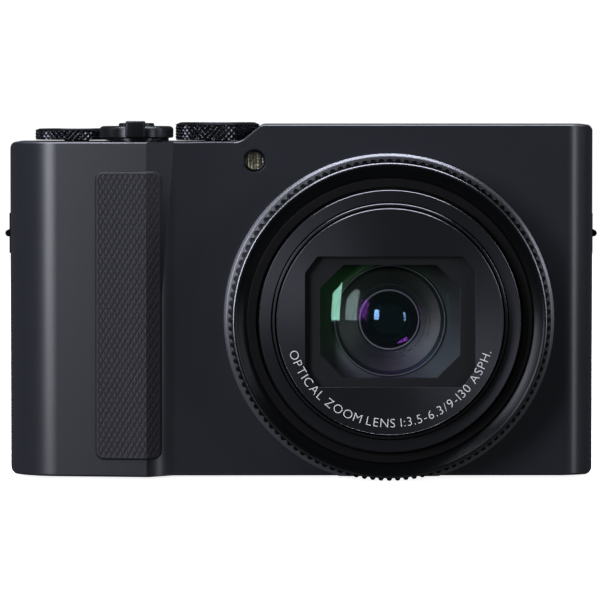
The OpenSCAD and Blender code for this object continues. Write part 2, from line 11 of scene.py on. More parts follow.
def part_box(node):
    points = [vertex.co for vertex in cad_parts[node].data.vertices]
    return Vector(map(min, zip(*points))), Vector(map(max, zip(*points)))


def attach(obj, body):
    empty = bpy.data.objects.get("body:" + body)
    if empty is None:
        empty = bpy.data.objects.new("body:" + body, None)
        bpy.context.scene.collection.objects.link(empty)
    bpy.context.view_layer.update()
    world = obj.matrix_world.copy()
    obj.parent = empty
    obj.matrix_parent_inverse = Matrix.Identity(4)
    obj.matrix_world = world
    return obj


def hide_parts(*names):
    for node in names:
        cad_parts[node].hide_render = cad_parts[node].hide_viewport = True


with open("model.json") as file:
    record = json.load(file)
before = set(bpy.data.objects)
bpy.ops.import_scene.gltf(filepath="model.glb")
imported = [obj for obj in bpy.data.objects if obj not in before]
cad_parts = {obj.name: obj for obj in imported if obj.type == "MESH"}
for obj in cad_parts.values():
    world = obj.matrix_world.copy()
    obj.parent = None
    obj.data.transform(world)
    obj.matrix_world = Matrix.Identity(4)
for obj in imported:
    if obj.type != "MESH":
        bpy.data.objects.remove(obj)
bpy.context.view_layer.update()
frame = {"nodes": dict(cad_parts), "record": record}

MM = 0.001
BODY = "camera_body"
BARREL = "front_barrel"


# ---------------------------------------------------------------- places

def middle(node):
    """The centre of a CAD node's box."""
    low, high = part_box(node)
    return (low + high) / 2


def size(node):
    """The sides of a CAD node's box, in mm."""
    low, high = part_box(node)
    return (high - low) / MM


LENS = middle("control_ring")            # the lens axis runs through here, along Y
LENS_X, LENS_Z = LENS.x, LENS.z
FRONT_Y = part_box("lens_flange")[1].y     # plane of the body's front face
REAR_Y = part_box("thumb_pad")[0].y        # plane of the body's rear face
DIAL_TOP = 3.75                          # height of the mode dial's top above the lower deck, in mm
DECK_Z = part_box("mode_dial")[1].z - DIAL_TOP * MM   # top of the lower deck, which the dials stand on


# ---------------------------------------------------------------- finishes

def linear(code):
    """An sRGB hex colour as linear RGBA."""
    parts = [int(code[i:i + 2], 16) / 255 for i in (1, 3, 5)]
    return [c / 12.92 if c <= 0.04045 else ((c + 0.055) / 1.055) ** 2.4 for c in parts] + [1.0]


def add(tree, kind, inputs=None, **settings):
    """Adds a shader node, with its settings, and its inputs as values or as sockets to link."""
    made = tree.nodes.new("ShaderNode" + kind)
    for key, value in settings.items():
        setattr(made, key, value)
    for key, value in (inputs or {}).items():
        if isinstance(value, bpy.types.NodeSocket):
            tree.links.new(value, made.inputs[key])
        else:
            made.inputs[key].default_value = value
    return made


def finish(name, colour, **sockets):
    """A new material of one base colour; returns it with its tree, its shader and object coordinates."""
    made = bpy.data.materials.new(name)
    made.use_nodes = True
    tree = made.node_tree
    shader = tree.nodes["Principled BSDF"]
    shader.inputs["Base Color"].default_value = linear(colour)
    for key, value in sockets.items():
        shader.inputs[key.replace("_", " ")].default_value = value
    return made, tree, shader, add(tree, "TexCoord").outputs["Object"]


def grains(tree, place, pitch, detail=2.0):
    """Noise whose spots are about pitch mm across."""
    noise = add(tree, "TexNoise", {"Vector": place, "Scale": 1 / (pitch * MM), "Detail": detail})
    return noise.outputs["Fac"]


def bump(tree, shader, height, depth, strength=0.6):
    """Raises the surface by depth mm where height is 1."""
    made = add(tree, "Bump", {"Height": height, "Distance": depth * MM, "Strength": strength})
    tree.links.new(made.outputs["Normal"], shader.inputs["Normal"])


def uneven(tree, shader, spots, roughness, spread):
    """Lets the roughness wander by spread either way."""
    rough = add(tree, "MapRange", {"Value": spots, "To Min": roughness - spread,
                                   "To Max": roughness + spread})
    tree.links.new(rough.outputs[0], shader.inputs["Roughness"])


def tinted(tree, shader, share, low, high):
    """Colours the surface between two hex colours by a share from 0 to 1."""
    ramp = add(tree, "ValToRGB", {"Fac": share})
    ramp.color_ramp.elements[0].color = linear(low)
    ramp.color_ramp.elements[1].color = linear(high)
    tree.links.new(ramp.outputs["Color"], shader.inputs["Base Color"])


def coated_metal(name, low, high, roughness=0.4):
    """Die-cast magnesium under a sprayed matte black coat: an even charcoal with a faint sparkle of
    grains, drawn a little coarser than real ones, that spreads a highlight into a soft band."""
    made, tree, shader, place = finish(name, low)
    fine = grains(tree, place, 0.16)
    cloud = grains(tree, place, 9, 3.0)
    spots = add(tree, "Math", {0: fine, 1: 0.75}, operation="MULTIPLY").outputs[0]
    blend = add(tree, "Math", {0: cloud, 1: 0.25, 2: spots}, operation="MULTIPLY_ADD").outputs[0]
    tinted(tree, shader, blend, low, high)
    uneven(tree, shader, fine, roughness, 0.05)
    bump(tree, shader, fine, 0.004, 0.5)
    return made


WAVES_PER_UNIT = 0.314      # a wave texture of scale 1 repeats every 0.314 units


def turned_metal(name, colour, roughness, axis="Y", pitch=0.3, depth=0.003, metallic=0.75,
                 centre=(0, 0, 0)):
    """Black anodised aluminium off a lathe: fine rings round the axis, drawn coarser than real ones,
    that pull each highlight out into a fan. pitch is their spacing and depth their height, in mm."""
    made, tree, shader, place = finish(name, colour, Metallic=metallic, Anisotropic=0.8,
                                       Anisotropic_Rotation=0.25)
    at = add(tree, "Mapping", {"Vector": place, "Location": [-c for c in centre]}).outputs[0]
    scale = WAVES_PER_UNIT / (pitch * MM)
    marks = add(tree, "TexWave", {"Vector": at, "Scale": scale, "Distortion": 0.5, "Detail": 2.0},
                wave_type="RINGS", rings_direction=axis).outputs["Fac"]
    uneven(tree, shader, grains(tree, place, 4, 4.0), roughness, 0.05)
    bump(tree, shader, marks, depth, 0.5)
    round_it = add(tree, "Tangent", direction_type="RADIAL", axis=axis)
    tree.links.new(round_it.outputs[0], shader.inputs["Tangent"])
    return made


def moulded(name, colour, roughness=0.45, grain=0.3, depth=0.008, spread=0.06, **sockets):
    """ABS, glass-filled nylon or rubber out of a spark-eroded tool: dull, with a fine even texture."""
    made, tree, shader, place = finish(name, colour, **sockets)
    spots = grains(tree, place, grain)
    uneven(tree, shader, spots, roughness, spread)
    bump(tree, shader, spots, depth)
    return made


def plated(name, low, high, roughness, grain=0.5):
    """Nickel-plated or stamped steel: bright, with dull patches where it has been handled."""
    made, tree, shader, place = finish(name, low, Metallic=1.0)
    spots = grains(tree, place, grain, 4.0)
    tinted(tree, shader, spots, low, high)
    uneven(tree, shader, spots, roughness, 0.08)
    bump(tree, shader, spots, 0.002)
    return made


def coating(name, colour, share):
    """Optical glass under a thin interference coat: it throws back a small share of the light in one
    hue and lets the rest through. Faint polishing haze keeps it from being perfectly even."""
    made, tree, shader, place = finish(name, colour, Metallic=1.0, Alpha=share)
    uneven(tree, shader, grains(tree, place, 3, 2.0), 0.05, 0.02)
    return made


def fan(name, hues, roughness=0.5):
    """Blackened cell wall with painted reflections and painted shade: the coloured reflections of the lights
    in the coated glass, and the dark between them, are painted round the lens axis as hues, in the order of
    hues from the left, then clockwise below it."""
    made, tree, shader, place = finish(name, hues[0])
    at = add(tree, "Mapping", {"Vector": place, "Location": (-LENS_X, -LENS_Z, 0),
                               "Rotation": (-math.pi / 2, 0, 0)}).outputs[0]
    # Painted reflections and shade: the colour turns with the angle round the lens axis, fixed on the surface
    # whatever the lights do.
    turn = add(tree, "TexGradient", {"Vector": at}, gradient_type="RADIAL").outputs["Fac"]
    ramp = add(tree, "ValToRGB", {"Fac": turn})
    stops = ramp.color_ramp.elements
    stops[0].color = stops[1].color = linear(hues[0])
    for step, hue in enumerate(hues[1:], 1):
        stops.new(step / len(hues)).color = linear(hue)
    tree.links.new(ramp.outputs["Color"], shader.inputs["Base Color"])
    uneven(tree, shader, grains(tree, place, 2, 2.0), roughness, 0.04)
    return made


magnesium = coated_metal("coated_magnesium", "#1f2025", "#2d2f35", 0.31)
rubber = moulded("moulded_rubber", "#232228", 0.55, grain=0.12, depth=0.006, Specular_IOR_Level=0.4)
soft_rubber = moulded("eyecup_rubber", "#161618", 0.7, grain=0.2)
ring_metal = turned_metal("black_anodised_ring", "#1c1d1f", 0.32, centre=(LENS_X, 0, LENS_Z))
barrel_metal = turned_metal("black_anodised_barrel", "#38393d", 0.42, centre=(LENS_X, 0, LENS_Z))
flange_metal = turned_metal("satin_flange", "#7c7d82", 0.4, centre=(LENS_X, 0, LENS_Z))
dial_metal = turned_metal("knurled_aluminium", "#3e3f43", 0.2, axis="Z", depth=0.0, metallic=1.0)
satin_metal = turned_metal("satin_aluminium", "#222327", 0.34, axis="Z", pitch=0.2, metallic=0.5)
plastic = moulded("moulded_black_ABS", "#131316", 0.5)
sooty = moulded("blackened_brass", "#101114", 0.42, depth=0.004)
cell_black = moulded("anodised_cell", "#060607", 0.5, depth=0.002, Specular_IOR_Level=0.2)
button = moulded("satin_button_ABS", "#24252a", 0.35, grain=0.4, depth=0.003)
dark_steel = plated("black_nickel", "#1c1d20", "#2c2d31", 0.35)
steel = plated("stamped_steel", "#9a9c9f", "#c2c4c6", 0.32)
board = moulded("solder_mask", "#15452c", 0.35, grain=2.0)
shell_grey = moulded("battery_shell", "#3b3e44", 0.5)
screen = moulded("screen_glass", "#050506", 0.06, grain=5, depth=0.0, spread=0.02)
panel = moulded("display_panel", "#0e1014", 0.12, grain=4, depth=0.0, spread=0.03)
clear = coating("clear_acrylic", "#e8f0ec", 0.12)
olive = plated("lamp_reflector", "#85826f", "#c9c5b2", 0.3, grain=0.4)
ink = moulded("white_ink", "#f0f0ee", 0.6, depth=0.002)
coat_mint = coating("magnesium_fluoride_mint", "#aef5cf", 0.045)
coat_green = coating("magnesium_fluoride_green", "#2fae47", 0.05)
coat_grey = coating("hafnia_grey", "#9db3a8", 0.03)
coat_teal = coating("titania_teal", "#5f93b4", 0.05)
coat_purple = coating("titania_purple", "#6a2f86", 0.04)
coat_blue = coating("titania_blue", "#8fc4f4", 0.09)
coat_magenta = coating("titania_magenta", "#b04ae8", 0.05)
FINISHES = {
    magnesium: "front_cover rear_cover bottom_cover battery_door top_cover flash_head",
    ring_metal: "control_ring zoom_lever diopter_dial",
    dial_metal: "mode_dial rear_dial",
    flange_metal: "lens_flange",
    barrel_metal: "outer_barrel middle_barrel front_barrel name_ring",
    cell_black: "lens_housing",
    plastic: "terminal_door four_way_pad door_latch rear_lens_group shutter_unit",
    sooty: "lens_baffle upper_blade upper_rear_blade lower_blade lower_rear_blade",
    rubber: "grip_pad thumb_pad",
    soft_rubber: "eyecup",
    button: "shutter_button movie_button power_switch flash_switch finder_button play_button "
            "function_button delete_button display_button set_button",
    dark_steel: "strap_lugs case_screws",
    steel: "guide_rods chassis_frame tripod_socket port_sockets zoom_motor flash_bracket flash_arm",
    board: "main_board switch_boards image_sensor",
    shell_grey: "battery memory_card lcd_module",
    screen: "lcd_glass eyepiece_lens front_lens inner_lens focus_lamp",
}
for material, names in FINISHES.items():
    for name in names.split():
        frame["nodes"][name].data.materials.clear()
        frame["nodes"][name].data.materials.append(material)


# ---------------------------------------------------------------- making pieces

def piece(name, bm, material, body, replaces=(), slot=None, smooth=35):
    """Makes an object from a bmesh, smooth but for its sharp edges, and lets it ride on a body."""
    mesh = bpy.data.meshes.new(name)
    bm.to_mesh(mesh)
    bm.free()
    mesh.materials.append(material)
    mesh.shade_smooth()
    mesh.set_sharp_from_angle(angle=math.radians(smooth))
    made = bpy.data.objects.new(name, mesh)
    bpy.context.scene.collection.objects.link(made)
    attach(made, body)
    if replaces:
        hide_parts(*replaces)
    return made


def body_of(node):
    """The body that a CAD node belongs to."""
    return next(b for b, nodes in frame["record"]["behaviour"]["bodies"].items() if node in nodes)


def slot_of(node):
    """The material slot that the record gives a CAD node."""
    return next(p["material_slot"] for p in frame["record"]["subparts"] if p["node"] == node)


def stands_for(name, bm, material, node, **more):
    """A piece that takes the place and the body of one CAD node."""
    return piece(name, bm, material, body_of(node), [node], slot_of(node), **more)


def bevel(bm, edges, width, segments=2, clamp=True):
    """Rounds off edges by width mm."""
    bmesh.ops.bevel(bm, geom=edges, offset=width * MM, segments=segments, affect="EDGES", profile=0.5,
                    material=-1, clamp_overlap=clamp, loop_slide=True)


def sharp_edges(bm, angle=30):
    """Edges where two faces meet at more than angle degrees."""
    return [e for e in bm.edges if len(e.link_faces) == 2 and e.calc_face_angle() > math.radians(angle)]


def evened(made):
    """Keeps broad faces flat in the shading, so that only the narrow rounded edges bend the light."""
    weigh = made.modifiers.new("even", "WEIGHTED_NORMAL")
    weigh.keep_sharp = True
    return made


def is_rim(edge):
    """Whether an edge of a cover lies between its outer wall and its top, slope or base."""
    if len(edge.link_faces) != 2:
        return False
    wall, cap = sorted(edge.link_faces, key=lambda face: abs(face.normal.z))
    outward = (edge.verts[0].co + edge.verts[1].co) / 2 - Vector((0, 5 * MM, 0))
    outward.z = 0
    return abs(wall.normal.z) < 0.05 and abs(cap.normal.z) > 0.3 and wall.normal.dot(outward) > 0


def softened(node, width):
    """A merged copy of a CAD node with its sharp edges rounded off by width mm, which stands for it."""
    rims = node in ("front_cover", "rear_cover")
    source = frame["nodes"][node].data
    bm = bmesh.new()
    bm.from_mesh(source)
    bmesh.ops.remove_doubles(bm, verts=bm.verts, dist=0.002 * MM)
    bmesh.ops.dissolve_limit(bm, angle_limit=math.radians(0.6), verts=bm.verts, edges=bm.edges)
    edges = [e for e in bm.edges if is_rim(e)] if rims else sharp_edges(bm)
    bevel(bm, edges, width, 3 if rims else 2, clamp=not rims)
    return evened(stands_for(node + "_shell", bm, source.materials[0], node, smooth=20 if rims else 35))


def spun(bm, profile, steps, centre, axis="Y"):
    """Spins a profile of [radius, height] in mm right round an axis through centre, and closes it."""
    up = Vector((0, 1, 0)) if axis == "Y" else Vector((0, 0, 1))
    verts = [bm.verts.new(Vector(centre) + Vector((1, 0, 0)) * r * MM + up * h * MM) for r, h in profile]
    edges = [bm.edges.new(pair) for pair in zip(verts, verts[1:])]
    bmesh.ops.spin(bm, geom=verts + edges, cent=centre, axis=up, angle=2 * math.pi, steps=steps,
                   use_merge=True)
    bmesh.ops.remove_doubles(bm, verts=bm.verts, dist=0.002 * MM)
    bmesh.ops.recalc_face_normals(bm, faces=bm.faces)


def turned(name, profile, material, body, centre=None, axis="Y", steps=160, **more):
    """A piece spun from a profile; without a centre it is about the lens axis, its heights along Y."""
    bm = bmesh.new()
    spun(bm, profile, steps, centre or (LENS_X, 0, LENS_Z), axis)
    return piece(name, bm, material, body, **more)


def slab(bm, low, high, width=0.0, segments=2):
    """Adds a block between two corners in mm, its edges rounded off by width mm."""
    middle_at = [(a + b) / 2 * MM for a, b in zip(low, high)]
    sides = [(b - a) * MM for a, b in zip(low, high)]
    place = Matrix.Translation(middle_at) @ Matrix.Diagonal((*sides, 1))
    made = bmesh.ops.create_cube(bm, size=1, matrix=place)
    if width:
        bevel(bm, list({e for v in made["verts"] for e in v.link_edges}), width, segments)


def bow(r, h, wide, tall, angles):
    """Profile of a quarter of an ellipse about [r, h], at angles in degrees from its top towards its side."""
    return [(r + wide * math.sin(math.radians(a)), h + tall * math.cos(math.radians(a))) for a in angles]


def diamond(u, v, flat=1.5):
    """Height from 0 to 1 of a diamond relief, one diamond per unit of u and v, its tops cut flat."""
    a, b = (u + v) % 1, (u - v) % 1
    return min(1, flat * 2 * min(a, 1 - a, b, 1 - b))


def ease(x):
    """Rises smoothly from 0 to 1 as x does."""
    x = max(0.0, min(1.0, x))
    return x * x * (3 - 2 * x)


# ---------------------------------------------------------------- rubber pads

def rubber_pad(name, node, skin, front, across, up, wide, tall, relief, corner, shoulder):
    """A pad with rows of diamonds and a plain rounded border. skin(x) is the y of its outer face, and
    front is -1 on the front of the camera and 1 on its back."""
    low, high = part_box(node)
    centre, half = (low + high) / 2, (high - low) / 2
    thick = 0.65 * MM

    def from_edge(x, z):
        qx, qz = abs(x - centre.x) - half.x + corner, abs(z - centre.z) - half.z + corner
        return corner - math.hypot(max(qx, 0), max(qz, 0)) - min(max(qx, qz), 0)

    bm = bmesh.new()
    bmesh.ops.create_grid(bm, x_segments=across, y_segments=up, size=0.5)
    for v in bm.verts:
        x, z = centre.x + v.co.x * 2 * half.x, centre.z + v.co.y * 2 * half.z
        edge = from_edge(x, z)
        drop = thick * (1 - math.sqrt(1 - (1 - min(1, max(0, edge) / shoulder)) ** 2))
        groove = relief * ease((edge - 0.4 * MM) / (0.4 * MM)) * (1 - diamond(x / wide, z / tall, 3.2))
        v.co = (x, skin(x) - front * (drop + groove), z)
    outside = [v for v in bm.verts if from_edge(v.co.x, v.co.z) < -0.02 * MM]
    bmesh.ops.delete(bm, geom=outside, context="VERTS")
    rim = bmesh.ops.extrude_edge_only(bm, edges=[e for e in bm.edges if e.is_boundary])["geom"]
    sunk = 0.2 * MM
    bmesh.ops.translate(bm, verts=[g for g in rim if isinstance(g, bmesh.types.BMVert)],
                        vec=(0, -front * sunk, 0))
    bmesh.ops.holes_fill(bm, edges=[e for e in bm.edges if e.is_boundary])
    bmesh.ops.recalc_face_normals(bm, faces=bm.faces)
    stands_for(name, bm, rubber, node, smooth=22)


def pads():
    """The pad that folds over the grip's crest, and the small one for the thumb."""
    crest, nose = -29.1 * MM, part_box("grip_pad")[0].y
    left_rise, right_rise, soft = 0.134, 0.891, 0.05 * MM

    def grip_skin(x):
        d = x - crest
        past = (d + math.sqrt(d * d + soft * soft)) / 2
        return nose - left_rise * d + (left_rise + right_rise) * past

    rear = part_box("thumb_pad")[1].y
    rubber_pad("diamond_grip", "grip_pad", grip_skin, -1, 120, 400, 1.06 * MM, 1.87 * MM, 0.11 * MM,
               1.5 * MM, 0.5 * MM)
    rubber_pad("thumb_rest", "thumb_pad", lambda x: rear, 1, 110, 76, 1.3 * MM, 1.3 * MM, 0.18 * MM,
               2.0 * MM, 0.6 * MM)


# ---------------------------------------------------------------- top controls

def knurled(node, name, studs, foot_rise, top_rise, relief, cap):
    """A dial with staggered rows of little pyramids, a chamfered rim and a dished top. Its knurl goes
    from foot_rise to top_rise above the deck, relief deep; cap is the chamfer's width and height."""
    low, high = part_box(node)
    centre = (low + high) / 2
    radius = (high.x - low.x) / 2
    foot, top = DECK_Z + foot_rise * MM, DECK_Z + top_rise * MM
    rows = (top - foot) / (2 * math.pi * radius / studs)
    bm = bmesh.new()
    bmesh.ops.create_grid(bm, x_segments=studs * 8, y_segments=30, size=0.5)
    for v in bm.verts:
        turn, rise = v.co.x + 0.5, v.co.y + 0.5
        stud = diamond(turn * studs, rise * rows * 0.95, 1.05) * ease(rise / 0.05) * ease((1 - rise) / 0.05)
        r = radius - relief * MM * (1 - stud)
        a = turn * 2 * math.pi
        v.co = (centre.x + r * math.cos(a), centre.y + r * math.sin(a), foot + (top - foot) * rise)
    bmesh.ops.remove_doubles(bm, verts=bm.verts, dist=0.002 * MM)
    spot = (centre.x, centre.y, DECK_Z)
    r, t, f = radius / MM, top_rise, foot_rise
    root, inner, crown = r - relief, r - cap[0], t + cap[1]
    dish = 0.12
    spun(bm, [(0, f + 0.02), (root, f + 0.02), (root, t - 0.02), (r - 0.08, t), (r - 0.02, t + 0.08),
              (inner + 0.1, crown - 0.05), (inner, crown), (inner - 0.5, crown),
              (inner - 0.65, crown - dish), (0, crown - dish)], studs * 4, spot, "Z")
    stem, end = 2.4, (low.z - DECK_Z) / MM
    spun(bm, [(0, end), (stem, end), (stem, f), (r - 0.9, f), (r - 0.9, f + 0.02), (0, f + 0.02)], 64,
         spot, "Z")
    bmesh.ops.recalc_face_normals(bm, faces=bm.faces)
    stands_for(name, bm, dial_metal, node, smooth=28)


def zoom_lever():
    """A ring with a rounded shoulder and an undercut, and a rounded tab for the finger in front."""
    at = middle("shutter_button")
    spot = (at.x, at.y, DECK_Z)
    low = (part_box("zoom_lever")[0].z - DECK_Z) / MM
    radius, bore, stem = 7.0, 3.7, 5
    shoulder, drop, top = 0.9, 0.675, 3.0
    bend = bow(radius - shoulder, top - drop, shoulder, drop, range(90, 14, -15))
    bm = bmesh.new()
    undercut = [(bore, low), (stem, low), (stem, 0.25), (radius - 1.1, 0.3), (radius - 1.1, 0.7),
                (radius - 0.25, 0.75), (radius, 0.95)]
    spun(bm, undercut + bend + [(bore + 0.3, top), (bore, top - 0.3), (bore, low)], 128, spot, "Z")
    x, y, z = at.x / MM, at.y / MM, DECK_Z / MM
    slab(bm, (x - 1.85, y - 8.05, z + 0.85), (x + 1.85, y - 4.6, z + 3.98), 0.35, 3)
    bmesh.ops.recalc_face_normals(bm, faces=bm.faces)
    stands_for("zoom_lever_ring", bm, satin_metal, "zoom_lever")


def dished_button(node, material, radius, rise, base, dish=0.25, edge=0.3):
    """A round button on the deck whose top is a shallow dish with a soft rim."""
    at = middle(node)
    low = (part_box(node)[0].z - DECK_Z) / MM
    bowl = [(radius - edge - (radius - edge) * k / 5, rise - dish * (1 - (1 - k / 5) ** 2)) for k in range(6)]
    profile = [(0, low), (1.2, low), (1.2, base), (radius, base), (radius, rise - edge),
               (radius - edge * 0.3, rise - edge * 0.3)] + bowl
    bm = bmesh.new()
    spun(bm, profile, 72, (at.x, at.y, DECK_Z), "Z")
    stands_for(node + "_cap", bm, material, node)


# ---------------------------------------------------------------- print

UPRIGHT = Matrix.Rotation(math.pi / 2, 4, "X")      # stands flat letters up, to be read from the front


def letters(name, text, body, place, height, slot=None, material=None):
    """Thin raised print: place(x) gives the matrix of a letter whose middle is x metres along the line."""
    bm = bmesh.new()
    shapes = []
    gap = 0.2 * height * MM
    for char in text:
        curve = bpy.data.curves.new("letter", "FONT")
        curve.body = char if char != " " else "i"
        curve.size = height * MM
        curve.extrude = 0.01 * MM
        curve.offset = -0.016 * height * MM
        curve.resolution_u = 4
        stand = bpy.data.objects.new("letter", curve)
        bpy.context.scene.collection.objects.link(stand)
        bpy.context.view_layer.update()
        mesh = bpy.data.meshes.new_from_object(stand.evaluated_get(bpy.context.evaluated_depsgraph_get()))
        xs = [v.co.x for v in mesh.vertices]
        mesh.transform(Matrix.Translation((-(max(xs) + min(xs)) / 2, 0, 0)))
        shapes.append((char, max(xs) - min(xs) + gap, mesh))
        bpy.data.objects.remove(stand)
    at = -sum(width for _, width, _ in shapes) / 2
    for char, width, mesh in shapes:
        if char != " ":
            mesh.transform(place(at + width / 2))
            bm.from_mesh(mesh)
        at += width
        bpy.data.meshes.remove(mesh)
    return piece(name, bm, material or ink, body, slot=slot)


def under_the_lens(radius, y):
    """Letters on the lower arc of a circle about the lens axis, their tops towards the axis."""
    def place(x):
        a = x / (radius * MM) - math.pi / 2
        spot = Vector((LENS_X + radius * MM * math.cos(a), y, LENS_Z + radius * MM * math.sin(a)))
        return Matrix.Translation(spot) @ Matrix.Rotation(-a - math.pi / 2, 4, "Y") @ UPRIGHT
    return place


def on_the_back(x, z, y=None):
    """Letters on the rear face about [x, z] in mm, read from behind."""
    def place(along):
        spot = Vector((x * MM - along, REAR_Y if y is None else y, z * MM))
        return Matrix.Translation(spot) @ Matrix.Rotation(math.pi, 4, "Z") @ UPRIGHT
    return place


def on_the_top(x, y, z, turn=math.pi):
    """Letters lying on a level face about [x, y] in metres, turned to be read from one side."""
    def place(along):
        flat = Matrix.Rotation(turn, 4, "Z")
        return Matrix.Translation((x, y, z)) @ flat @ Matrix.Translation((along, 0, 0))
    return place


# ---------------------------------------------------------------- lens

def control_ring():
    """The ring's smooth rounded front, its cone, and the band of small teeth behind."""
    low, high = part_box("control_ring")
    tip = (high.x - low.x) / 2 / MM
    root, rim, shoulder = tip - 0.5, tip - 0.75, tip - 1.1
    front, rear = low.y / MM, high.y / MM
    band = rear - 3.6
    bore, cone_r, cone_y = 26.52, 26.9, -17.2
    corner = 0.4
    bend = bow(rim - corner, front + corner, corner, -corner, range(90, -1, -15))
    band_profile = [(bore, rear), (root - 0.1, rear), (root, rear - 0.12), (root, rear - 1.2),
                    (root, rear - 2.4), (root, band + 0.12), (shoulder, band - 0.02),
                    (shoulder, band - 0.35), (rim, band - 0.6)]
    cone_profile = [(rim - 0.75, front + 0.02), (rim - 0.95, front + 0.2), (cone_r, cone_y), (bore, cone_y),
                    (bore, rear)]
    bm = bmesh.new()
    teeth = 120
    spun(bm, band_profile + bend + cone_profile, teeth * 8, (LENS_X, 0, LENS_Z))
    for v in bm.verts:
        d = Vector((v.co.x - LENS_X, 0, v.co.z - LENS_Z))
        if (band + 0.05) * MM < v.co.y < (rear - 0.02) * MM and d.length > (root - 0.05) * MM:
            phase = (math.atan2(d.z, d.x) / (2 * math.pi) * teeth) % 1
            v.co += d.normalized() * (tip - root) * MM * ease((0.34 - min(phase, 1 - phase)) / 0.14)
    stands_for("lens_ring", bm, ring_metal, "control_ring", smooth=40)
    edge, proud = 0.28, 0.02
    arc = bow(rim - corner, front + corner, corner + proud, -corner - proud, range(5, 71, 13))
    turned("ring_edge", arc + [(rim - edge, front + edge), (rim - corner, front + 0.1), arc[0]], cut_edge,
           "control_ring", slot="black_aluminium")


def dome(radius, pole, curve, inner=0.0, steps=16):
    """Profile of a thin spherical cap facing the front: pole is its y, curve its radius of curvature."""
    side = 1 if curve > 0 else -1
    c = abs(curve)
    rings = [inner + (radius - inner) * i / steps for i in range(steps + 1)]
    return [(r, pole + side * (c - math.sqrt(c * c - r * r))) for r in rings]


def hoop(name, radius, y, wide, material, body=BARREL, slot="black_plastic"):
    """A thin bright ring: the ground edge of a lens, or a chamfer cut after the anodising."""
    half = wide / 2
    profile = [(radius, y), (radius + half, y - half), (radius + wide, y), (radius + half, y + half)]
    turned(name, profile + profile[:1], material, body, slot=slot)


def glass(name, profile, material, replaces=()):
    """One coated face of the lens."""
    turned(name, profile, material, BARREL, replaces=replaces, slot="coated_glass")


def cell(name, profile, material):
    """One blackened step of the tube behind the glass, with the glass's reflections and shade painted on it.
    """
    turned(name, profile + profile[:1], material, BARREL, slot="black_plastic")


def optics():
    """Coated glass faces, one behind the other, in blackened cells with thin bright edges."""
    glass("front_glass", dome(15.35, -19.95, 34), coat_mint, ["front_lens"])
    glass("front_glass_back", dome(10.2, -17.6, 22), coat_grey)
    glass("front_glass_rim", dome(15.3, -19.3, 60, 10.3), coat_green)
    glass("second_glass", dome(10.1, -16.2, 15), coat_purple, ["inner_lens"])
    glass("second_glass_back", dome(7.0, -14.9, -30), coat_teal)
    glass("third_glass", dome(5.4, -14.2, 7.2), coat_blue)
    glass("fourth_glass", dome(5.2, -11.5, -9), coat_magenta)
    hoop("glass_edge", 10.25, -17.0, 0.16, edge_grey)
    hoop("second_edge", 6.7, -15.2, 0.1, edge_dim)
    hoop("inner_edge", 5.4, -13.6, 0.3, edge_lilac)
    hoop("name_edge", 21.0, -22.57, 0.12, cut_edge, slot="black_aluminium")
    hoop("middle_edge", 21.87, -20.77, 0.12, cut_edge, "middle_barrel", "black_aluminium")
    hoop("outer_edge", 24.36, -19.97, 0.12, cut_edge, "outer_barrel", "black_aluminium")
    # The cells carry painted reflections and painted shade of the coated glass.
    cell("front_cell", [(15.5, -16.0), (13.5, -16.1), (10.6, -16.6), (10.5, -16.9), (10.5, -15.9),
                        (15.5, -15.85)], outer_cell_painted_reflection)
    cell("second_cell", [(10.3, -16.0), (9.6, -14.8), (6.1, -13.5), (5.8, -13.2), (10.3, -12.9)], middle_cell_painted_reflection)
    cell("deep_cell", [(5.5, -13.2), (4.6, -10.2), (2.2, -9.8), (1.2, -9.5), (0, -9.4), (0, -9.2),
                       (5.5, -9.2)], core_cell_painted_reflection)


# ---------------------------------------------------------------- small parts

def focus_lamp():
    """A clear dome over a ribbed reflector, in a thin bright ring."""
    at = middle("focus_lamp")
    spot = (at.x, FRONT_Y, at.z)
    inner, outer = 1.66, 1.94
    turned("lamp_ring", [(inner, 0.3), (1.7, 0.1), (1.84, 0.04), (outer, 0.12), (outer, 0.6), (inner, 0.6),
                         (inner, 0.3)], dark_steel, BODY, spot, steps=64, slot="inner_plastic")
    turned("lamp_lens", [(r, 0.12 + 0.14 * (r / inner) ** 2) for r in (0, 0.4, 0.8, 1.2, 1.5, inner)],
           clear, BODY, spot, steps=64, slot="inner_plastic")
    bm = bmesh.new()
    bmesh.ops.create_grid(bm, x_segments=48, y_segments=48, size=0.5)
    for v in bm.verts:
        x, z = v.co.x * 3.3, v.co.y * 3.3
        bowl = 1.5 - 0.32 * (x * x + z * z)
        fold = 0.5 * abs(math.sin(math.pi * x / 1.15)) - 0.12 * abs(math.sin(math.pi * z / 0.5))
        v.co = (at.x + x * MM, FRONT_Y + (bowl + fold) * MM, at.z + z * MM)
    outside = [v for v in bm.verts if math.hypot(v.co.x - at.x, v.co.z - at.z) > inner * MM]
    bmesh.ops.delete(bm, geom=outside, context="VERTS")
    bmesh.ops.recalc_face_normals(bm, faces=bm.faces)
    stands_for("lamp_reflector", bm, olive, "focus_lamp", smooth=50)


def stamp(name, text, height, body, slot, x, z, y):
    """One small mark on a rear button."""
    letters(name, text, body, on_the_back(x, z, y), height, slot, pale_ink)


def lcd_panel():
    """The panel's live area, just behind the screen's glass."""
    at, wide = middle("lcd_glass"), size("lcd_glass")
    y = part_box("lcd_glass")[1].y / MM
    bm = bmesh.new()
    slab(bm, (at.x / MM - wide.x / 2 + 2.2, y - 0.1, at.z / MM - wide.z / 2 + 1.6),
         (at.x / MM + wide.x / 2 - 2.2, y + 0.01, at.z / MM + wide.z / 2 - 3.2))
    piece("lcd_panel", bm, panel, BODY, slot="screen_glass")


